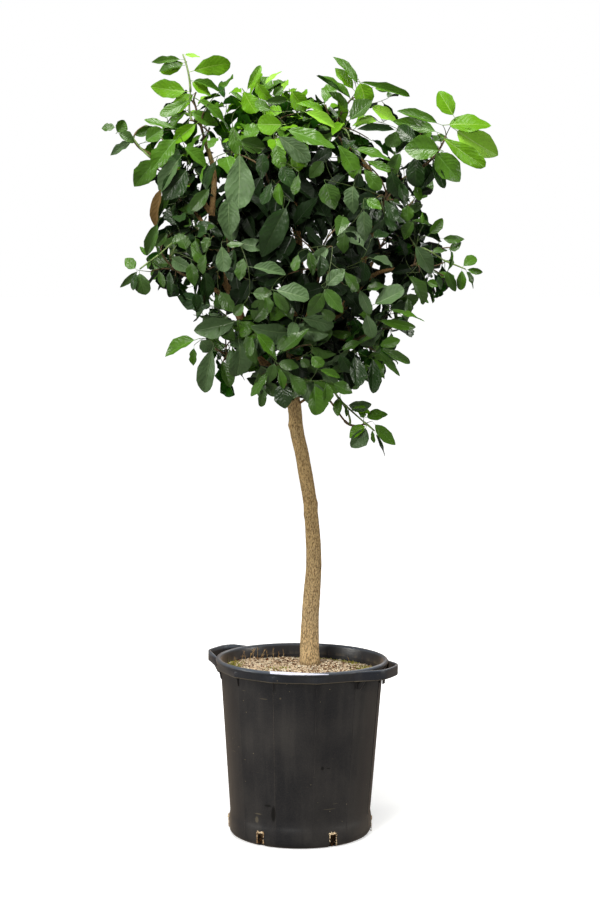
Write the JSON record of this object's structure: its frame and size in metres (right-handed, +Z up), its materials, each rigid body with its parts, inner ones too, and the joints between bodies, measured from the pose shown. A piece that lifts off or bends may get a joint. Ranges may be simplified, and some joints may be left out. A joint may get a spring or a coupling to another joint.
{
  "type": "potted key lime tree",
  "caption": "Small standard citrus tree with a bare, gently bent trunk and a broad leafy crown, in a black plastic nursery pot with two carrying handles.",
  "frame": {"origin": "centre of the pot's flat underside, at floor level", "axes": "+Z up along the pot's axis, -Y towards the tree's front, +X to the right of someone who looks at the front"},
  "size_m": [0.9224, 0.7549, 1.9041],
  "materials": {
    "pot_plastic": "black moulded polypropylene, scuffed and dusty",
    "label": "smooth blank coated strip",
    "soil": "dry, coarse, granular",
    "bark": "fissured tan bark",
    "leaf": "glossy leathery leaf"
  },
  "bodies": {
    "root": {"pot": "pot_plastic", "handle_right": "pot_plastic", "handle_left": "pot_plastic", "label": "label", "soil": "soil", "trunk": "bark", "bough_top_left": "bark", "bough_top_middle_right": "bark", "bough_top_centre": "bark", "bough_front_centre": "bark", "bough_upper_left": "bark", "bough_far_left": "bark", "bough_left_middle": "bark", "bough_front_left": "bark", "bough_lower_left": "bark", "bough_back_left": "bark", "bough_upper_front": "bark", "bough_back_top": "bark", "bough_back_lower": "bark", "bough_lower_centre": "bark", "bough_upper_right": "bark", "bough_top_right": "bark", "bough_right_middle": "bark", "bough_back_right": "bark", "bough_lower_right": "bark", "bough_low_sprig": "bark", "leaves_top_left": "leaf", "leaves_top_middle_right": "leaf", "leaves_top_centre": "leaf", "leaves_front_centre": "leaf", "leaves_upper_left": "leaf", "leaves_far_left": "leaf", "leaves_left_middle": "leaf", "leaves_front_left": "leaf", "leaves_lower_left": "leaf", "leaves_back_left": "leaf", "leaves_upper_front": "leaf", "leaves_back_top": "leaf", "leaves_back_lower": "leaf", "leaves_lower_centre": "leaf", "leaves_upper_right": "leaf", "leaves_top_right": "leaf", "leaves_right_middle": "leaf", "leaves_back_right": "leaf", "leaves_lower_right": "leaf", "leaves_low_sprig": "leaf"}
  },
  "joints": []
}
